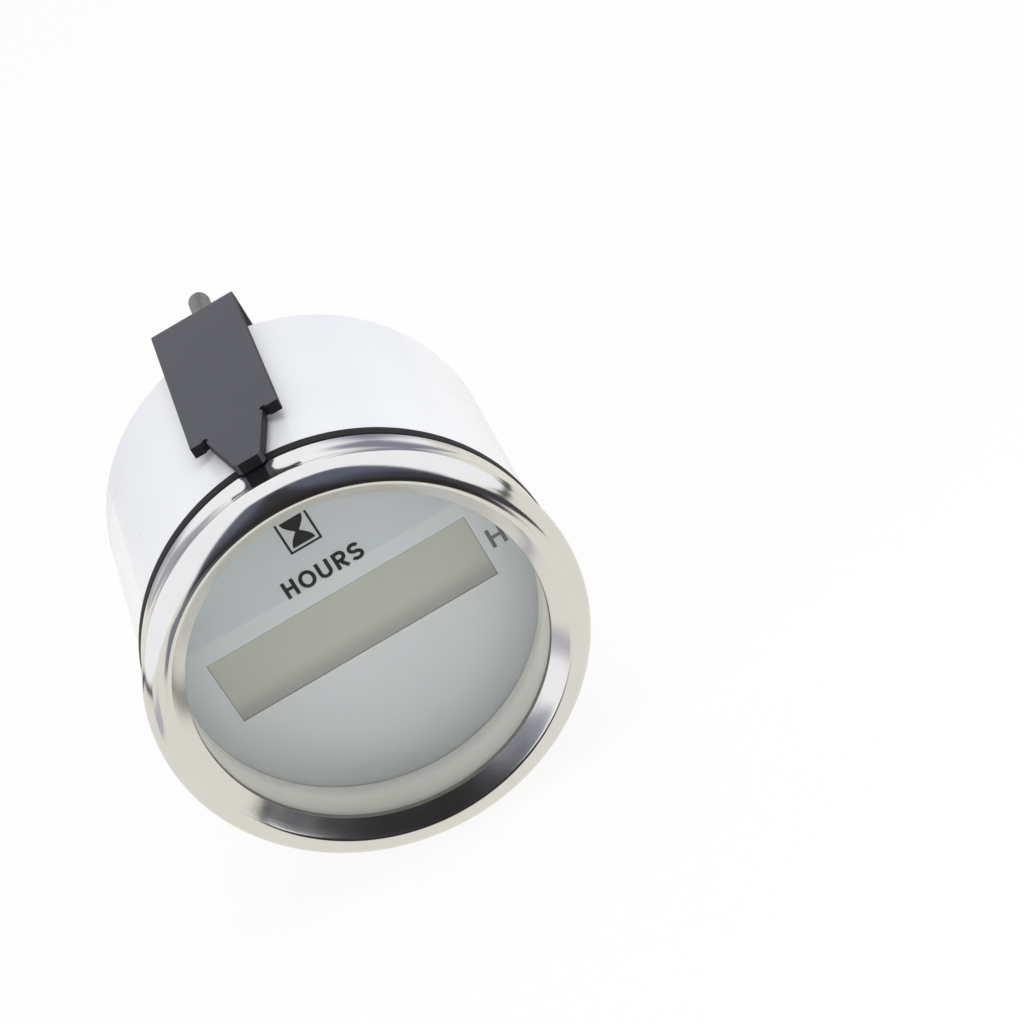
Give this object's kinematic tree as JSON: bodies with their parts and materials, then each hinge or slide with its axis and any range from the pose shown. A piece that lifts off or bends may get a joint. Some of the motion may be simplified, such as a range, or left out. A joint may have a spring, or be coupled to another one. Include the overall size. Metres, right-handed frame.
{
  "type": "hour meter",
  "caption": "Round panel hour meter with a polished bezel, blank display window, white case and a folded clamping bracket drawn up by thumb nuts on rear studs.",
  "frame": {"origin": "on the gauge's axis, in the panel plane, which is the rear face of the panel gasket", "axes": "+Z is the dial's twelve o'clock, the dial faces -Y, and +Y runs along the axis to the rear"},
  "size_m": [0.0546, 0.0743, 0.0564],
  "materials": {
    "case_white": "glossy white moulding",
    "bezel_steel": "polished stainless sheet",
    "lens_glass": "clear flat glass",
    "seal_rubber": "black rubber",
    "trim_plastic": "satin grey-white moulding",
    "dial_face": "satin printed face",
    "display_glass": "grey-green display",
    "holder_plastic": "white moulding",
    "strip_rubber": "layered silicone",
    "guide_acrylic": "milky acrylic",
    "led_epoxy": "clear yellow epoxy",
    "board_laminate": "green solder mask",
    "chip_black": "black moulding compound",
    "can_metal": "drawn can",
    "capacitor_can": "aluminium can",
    "pin_metal": "gilt pin",
    "socket_black": "black moulding",
    "zinc_steel": "zinc plated",
    "spring_steel": "dark spring steel",
    "bracket_grey": "satin slate-grey coating"
  },
  "bodies": {
    "gauge": {"case": "case_white", "bezel": "bezel_steel", "lens": "lens_glass", "lens_seal": "seal_rubber", "panel_gasket": "seal_rubber", "trim_ring": "trim_plastic", "dial": "dial_face", "lcd_glass": "display_glass", "display_holder": "holder_plastic", "upper_contact_strip": "strip_rubber", "lower_contact_strip": "strip_rubber", "light_guide": "guide_acrylic", "backlight_leds": "led_epoxy", "display_board": "board_laminate", "microcontroller": "chip_black", "memory_chip": "chip_black", "crystal": "can_metal", "board_spacers": "holder_plastic", "board_screws": "zinc_steel", "link_strips": "socket_black", "link_pins": "pin_metal", "power_board": "board_laminate", "voltage_regulator": "chip_black", "reservoir_capacitor": "capacitor_can", "protection_diode": "chip_black", "socket_shroud": "socket_black", "socket_pins": "pin_metal", "upper_stud": "zinc_steel", "lower_stud": "zinc_steel"},
    "bracket": {"clamp_bracket": "bracket_grey", "upper_flat_washer": "zinc_steel", "lower_flat_washer": "zinc_steel", "upper_spring_washer": "spring_steel", "lower_spring_washer": "spring_steel"},
    "upper_nut": {"upper_nut": "zinc_steel"},
    "lower_nut": {"lower_nut": "zinc_steel"}
  },
  "joints": [
    {"name": "bracket_slide", "type": "slide", "parent": "gauge", "child": "bracket", "axis": [0, 1, 0], "range_m": [0, 0.012]},
    {"name": "upper_nut_turn", "type": "hinge", "parent": "bracket", "child": "upper_nut", "pos_m": [0, 0.0465, 0.019], "axis": [0, 1, 0], "range_deg": [0, 8640]},
    {"name": "lower_nut_turn", "type": "hinge", "parent": "bracket", "child": "lower_nut", "pos_m": [0, 0.0465, -0.019], "axis": [0, 1, 0], "range_deg": [0, 8640]}
  ],
  "couplings": [
    {"joint": "upper_nut_turn", "follows": "bracket_slide", "rad_per_m": 12566},
    {"joint": "lower_nut_turn", "follows": "bracket_slide", "rad_per_m": 12566}
  ]
}
